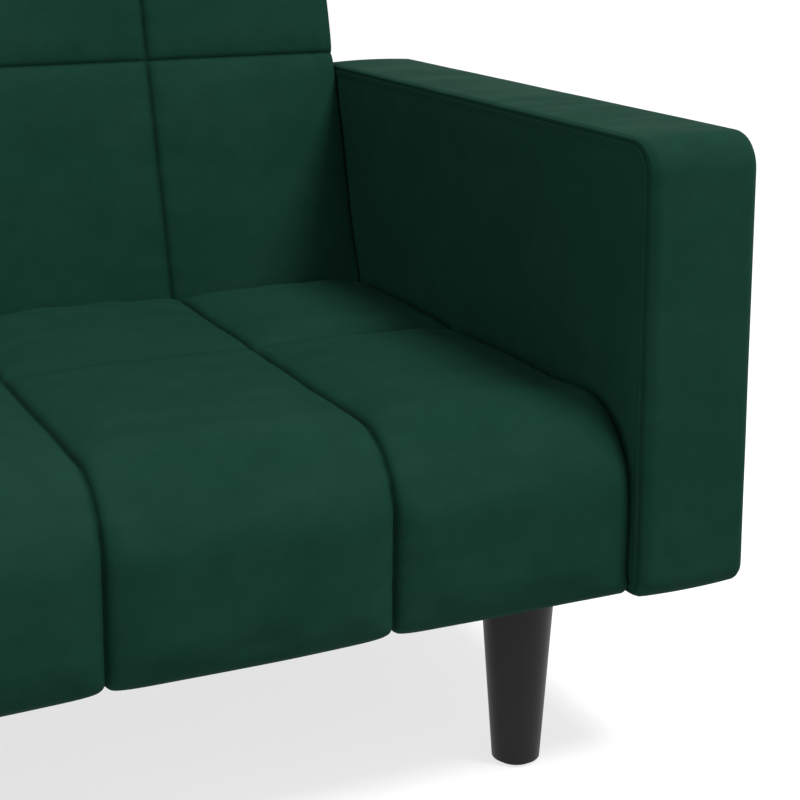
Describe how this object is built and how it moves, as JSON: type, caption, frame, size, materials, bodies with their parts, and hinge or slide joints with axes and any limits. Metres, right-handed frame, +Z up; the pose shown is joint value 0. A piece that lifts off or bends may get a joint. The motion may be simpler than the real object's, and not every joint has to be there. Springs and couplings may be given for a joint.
{
  "type": "sofa bed",
  "caption": "Click-clack sofa bed with quilted velvet seat and backrest, box arms and tapered round legs; the backrest reclines flat into a bed.",
  "frame": {"origin": "centre of the object's box at floor level", "axes": "+X along the sofa's length to the right as seen from the front, the front faces -Y, +Z up"},
  "size_m": [2.01, 0.7786, 0.7716],
  "materials": {
    "velvet": "matte",
    "foam": "matte",
    "nonwoven": "matte",
    "webbing": "matte",
    "felt": "matte",
    "leg_plastic": "satin",
    "hardboard": "matte",
    "timber": "matte",
    "steel": "satin"
  },
  "bodies": {
    "base": {"seat_front_rail": "timber", "seat_spring_rail": "timber", "seat_rear_rail": "timber", "rear_rail_cloth": "nonwoven", "seat_side_rail_left": "timber", "seat_side_rail_right": "timber", "seat_cross_planks": "timber", "leg_blocks": "timber", "seat_springs": "steel", "spring_clips": "steel", "seat_cover": "velvet", "seat_deck_pad": "nonwoven", "seat_foam": "foam", "dust_cover": "nonwoven", "dust_cover_staples": "steel", "leg_front_left": "leg_plastic", "leg_front_middle": "leg_plastic", "leg_front_right": "leg_plastic", "leg_rear_left": "leg_plastic", "leg_rear_middle": "leg_plastic", "leg_rear_right": "leg_plastic", "leg_glides": "felt", "leg_studs": "steel", "leg_plates": "steel", "leg_plate_screws": "steel", "arm_frame_left": "timber", "arm_panels_left": "hardboard", "arm_padding_left": "foam", "arm_cover_left": "velvet", "arm_frame_right": "timber", "arm_panels_right": "hardboard", "arm_padding_right": "foam", "arm_cover_right": "velvet", "arm_bolts": "steel", "arm_bolt_washers": "steel", "arm_spacers": "steel", "arm_tee_nuts": "steel", "hinge_seat_plate_left": "steel", "hinge_seat_plate_right": "steel", "hinge_pivot_pins": "steel", "hinge_pawl_pins": "steel", "hinge_pawl_springs": "steel", "hinge_seat_screws": "steel"},
    "backrest": {"backrest_cover": "velvet", "backrest_side_rail_left": "timber", "backrest_side_rail_right": "timber", "backrest_bottom_rail": "timber", "backrest_top_rail": "timber", "backrest_uprights": "timber", "backrest_webbing": "webbing", "backrest_board": "hardboard", "backrest_foam": "foam", "hinge_back_plate_left": "steel", "hinge_back_plate_right": "steel", "hinge_back_screws": "steel"},
    "pawl_left": {"hinge_pawl_left": "steel"},
    "pawl_right": {"hinge_pawl_right": "steel"}
  },
  "joints": [
    {"name": "back_recline", "type": "hinge", "parent": "base", "child": "backrest", "pos_m": [0, 0.20505, 0.27998], "axis": [-1, 0, 0], "range_deg": [-8, 75]},
    {"name": "pawl_lift_left", "type": "hinge", "parent": "base", "child": "pawl_left", "pos_m": [0, 0.17058, 0.23585], "axis": [-1, 0, 0], "range_deg": [0, 10], "stiffness_Nm_per_rad": 0.5},
    {"name": "pawl_lift_right", "type": "hinge", "parent": "base", "child": "pawl_right", "pos_m": [0, 0.17058, 0.23585], "axis": [-1, 0, 0], "range_deg": [0, 10], "stiffness_Nm_per_rad": 0.5}
  ]
}
